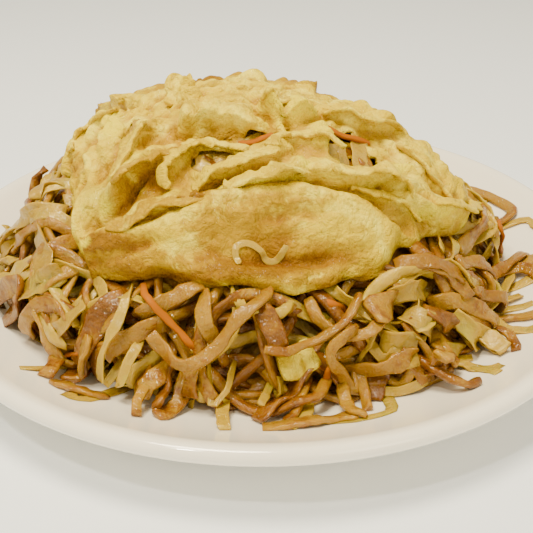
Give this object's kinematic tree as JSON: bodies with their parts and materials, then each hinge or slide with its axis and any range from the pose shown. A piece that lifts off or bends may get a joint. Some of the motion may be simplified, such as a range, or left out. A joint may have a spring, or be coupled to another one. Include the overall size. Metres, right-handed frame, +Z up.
{
  "type": "plate of fried shredded pancake with omelette",
  "caption": "Heap of fried shredded pancake with cabbage and carrot shreds under a crumpled golden omelette, served on a round white glazed plate.",
  "frame": {"origin": "centre of the plate's foot ring, on the surface the plate stands on", "axes": "+Z up along the plate's axis, -Y towards the diner, at the side where the omelette hangs lowest, +X to the diner's right"},
  "size_m": [0.28, 0.28, 0.0995],
  "materials": {
    "white_glaze": "gloss white glaze",
    "fried_pancake": "fried dough strips, oily sheen, browned in patches",
    "fried_egg": "soft fried egg, pale yellow with golden brown patches",
    "pale_cabbage": "cooked cabbage, glossy and slightly translucent",
    "carrot": "cooked carrot, slight gloss"
  },
  "bodies": {
    "root": {"plate": "white_glaze", "shredded_pancake": "fried_pancake", "omelette": "fried_egg", "cabbage_curl": "pale_cabbage", "carrot_left": "carrot", "carrot_right": "carrot"}
  },
  "joints": []
}
